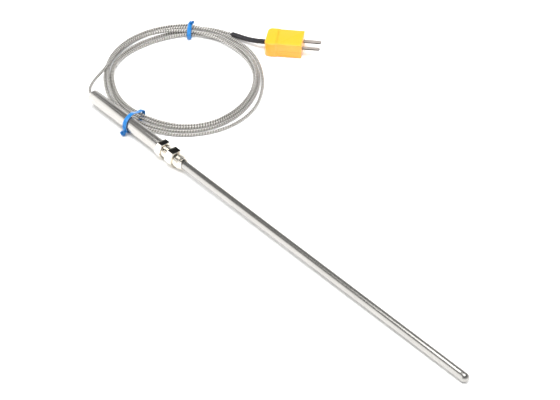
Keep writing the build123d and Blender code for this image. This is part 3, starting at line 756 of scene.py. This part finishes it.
for side, name, width in ((1, "negative", 3.2), (-1, "positive", 2.4)):
    blade_tip = front + 11.0
    deselect()
    bpy.ops.mesh.primitive_cube_add(size=1, location=((blade_tip - 3.4) / 2 * mm, 0, 0))
    blade = bpy.context.object
    blade.name = blade.data.name = f"{name}_blade"
    blade.scale = ((blade_tip + 3.4) * mm, width * mm, blade_thickness * mm)
    settle(blade)
    bpy.ops.object.mode_set(mode="EDIT")
    bpy.ops.mesh.select_mode(type="EDGE")
    bpy.ops.mesh.select_all(action="DESELECT")
    bpy.ops.object.mode_set(mode="OBJECT")
    for edge in blade.data.edges:
        a, b = (blade.data.vertices[v].co for v in edge.vertices)
        edge.select = abs(a.z - b.z) > 0.5 * mm and a.x > blade_tip * 0.9 * mm
    bpy.ops.object.mode_set(mode="EDIT")
    bpy.ops.mesh.bevel(offset=(width / 2 - 0.05) * mm, segments=10, affect="EDGES")
    bpy.ops.mesh.select_mode(type="VERT")
    for station in (0.5, 0.6):
        bpy.ops.mesh.select_all(action="SELECT")
        bpy.ops.mesh.bisect(plane_co=(station * mm, 0, 0), plane_no=(1, 0, 0))
    bpy.ops.mesh.select_all(action="DESELECT")
    bpy.ops.object.mode_set(mode="OBJECT")
    for vertex in blade.data.vertices:
        vertex.select = vertex.co.x < 0.55 * mm
    bpy.ops.object.mode_set(mode="EDIT")
    bpy.ops.transform.resize(value=(1, 4.2 / width, 1), center_override=(0, 0, 0))
    bpy.ops.object.mode_set(mode="OBJECT")
    cut(blade, (0.65, 4), (-1.6, 0, 0), "UP")
    soften(blade, 0.1, segments=2, angle=50)
    for vertex in blade.data.vertices:
        vertex.co.y += side * blade_spacing / 2 * mm
    blade.rotation_euler = (0, 0, plug_turn)
    blade.location = plug_place
    settle(blade)
    blade.data.materials.clear()
    for material in (blade_face, blade_edge_painted_shade):
        blade.data.materials.append(material)
    # The upright faces take the darker painted-shade finish, and the flat faces the lighter one.
    for face in blade.data.polygons:
        face.material_index = int(abs(face.normal.z) < 0.6)
    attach(blade, "probe")
    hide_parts(f"blade_{name}")

# ---- Inner parts, from the CAD -------------------------------------------------------------------
# Bushes, ferrules, wires, splices, filling and screws keep their CAD shapes. Each gets the finish
# of what it is.
inner_finishes = {
    "tube_steel": ("turned_stainless", 1.0, 0.3, "#B5B2AD", "#C6C4C0", 1500.0),
    "fitting_steel": ("turned_bright_steel", 1.0, 0.15, "#E6E1D8", "#D4CEC2", 1500.0),
    "magnesia": ("packed_magnesia_powder", 0.0, 0.9, "#EFECE4", "#DAD6CC", 2500.0),
    "chromel": ("drawn_chromel_wire", 1.0, 0.35, "#A7A29A", "#8F8A82", 1200.0),
    "alumel": ("drawn_alumel_wire", 1.0, 0.35, "#9DA0A0", "#858888", 1200.0),
    "splice_brass": ("tinned_brass_crimp", 1.0, 0.35, "#D0B26A", "#B89650", 900.0),
    "insulation_yellow": ("yellow_glass_fibre_sleeving", 0.0, 0.8, "#E2BC3A", "#C9A028", 3000.0),
    "insulation_red": ("red_glass_fibre_sleeving", 0.0, 0.8, "#B5251F", "#8E1A16", 3000.0),
    "potting_compound": ("cured_epoxy", 0.0, 0.4, "#3A3532", "#2A2624", 600.0),
    "screw_steel": ("zinc_plated_steel", 1.0, 0.3, "#C4C5C6", "#A9ABAD", 900.0)}
made_finishes = {}
for slot_name, (name, metallic, rough_value, light, dark, scale) in inner_finishes.items():
    material, tree, shader = new_finish(name, Metallic=metallic)
    place = add(tree, "ShaderNodeTexCoord").outputs["Object"]
    grain = add(tree, "ShaderNodeTexNoise", {"Vector": place, "Scale": scale, "Detail": 3.0})
    colour = add(tree, "ShaderNodeMix", {0: grain, 6: linear(light), 7: linear(dark)}, data_type="RGBA")
    rough = add(tree, "ShaderNodeMapRange",
                {0: grain, 3: rough_value * 0.85, 4: min(1.0, rough_value * 1.15)})
    bump = add(tree, "ShaderNodeBump", {"Strength": 0.2, "Distance": 0.03 * mm, "Height": grain})
    tree.links.new(colour.outputs[2], shader.inputs["Base Color"])
    tree.links.new(rough.outputs[0], shader.inputs["Roughness"])
    tree.links.new(bump.outputs[0], shader.inputs["Normal"])
    made_finishes[slot_name] = material
for part in frame["record"]["subparts"]:
    node = frame["nodes"][part["node"]]
    if part["material_slot"] in made_finishes and not node.hide_render:
        node.data.materials.clear()
        node.data.materials.append(made_finishes[part["material_slot"]])

# ---- Table and light -----------------------------------------------------------------------------
# A white laminate table under a large soft light that leaves no reflection, a small one straight
# overhead that does, and a white screen low at the front. The room is bright at the horizon and dim
# above it, with one dark patch behind, which blackens the hexagons' upper flats.
deselect()
bpy.ops.mesh.primitive_plane_add(size=8, location=(0, 0, 0))
table = bpy.context.object
table.name = table.data.name = "table_top"
laminate, tree, shader = new_finish("white_laminate", Roughness=0.35)
place = add(tree, "ShaderNodeTexCoord").outputs["Object"]
peel = add(tree, "ShaderNodeTexNoise", {"Vector": place, "Scale": 60.0, "Detail": 2.0})
colour = add(tree, "ShaderNodeMix", {0: peel, 6: linear("#F7F7F7"), 7: linear("#F9F9F9")},
             data_type="RGBA")
tree.links.new(colour.outputs[2], shader.inputs["Base Color"])
table.data.materials.append(laminate)


def soft_light(name, place, target, width, height, power, in_reflections):
    """A rectangular soft light that points from its place to a target."""
    lamp = bpy.data.lights.new(name, "AREA")
    lamp.shape, lamp.size, lamp.size_y, lamp.energy = "RECTANGLE", width, height, power
    light = bpy.data.objects.new(name, lamp)
    light.location = place
    light.rotation_euler = (Vector(target) - Vector(place)).to_track_quat("-Z", "Y").to_euler()
    light.visible_glossy = in_reflections
    bpy.context.scene.collection.objects.link(light)


soft_light("overhead_light", (-0.1, 0.1, 1.8), (-0.05, 0.05, 0), 4.5, 4.5, 130, False)
soft_light("zenith_light", (-0.12, 0.06, 1.8), (-0.12, 0.06, 0), 1.3, 1.3, 22, True)
soft_light("front_screen", (-1.7, -1.6, 0.85), (-0.1, 0, 0.1), 3.2, 1.7, 22, True)

room = bpy.data.worlds.new("room")
room.use_nodes = True
bpy.context.scene.world = room
tree = room.node_tree
direction = add(tree, "ShaderNodeSeparateXYZ", {0: add(tree, "ShaderNodeTexCoord").outputs["Generated"]})
climb = add(tree, "ShaderNodeMapRange", {0: direction.outputs[2], 1: 0.0, 2: 0.7},
            interpolation_type="SMOOTHSTEP")
glow = add(tree, "ShaderNodeMix", {0: climb, 6: (0.95, 0.95, 0.95, 1), 7: (0.09, 0.09, 0.09, 1)},
           data_type="RGBA")
behind = add(tree, "ShaderNodeVectorMath", {0: add(tree, "ShaderNodeTexCoord").outputs["Generated"],
                                            1: (-0.608, 0.51, 0.609)}, operation="DOT_PRODUCT")
flag = add(tree, "ShaderNodeMapRange", {0: behind.outputs["Value"], 1: 0.94, 2: 0.985},
           interpolation_type="SMOOTHSTEP")
glow = add(tree, "ShaderNodeMix", {0: flag, 6: glow.outputs[2], 7: (0.02, 0.02, 0.02, 1)},
           data_type="RGBA")
tree.links.new(glow.outputs[2], tree.nodes["Background"].inputs["Color"])
tree.nodes["Background"].inputs["Strength"].default_value = 1.0
bpy.context.scene.view_settings.view_transform = "Standard"
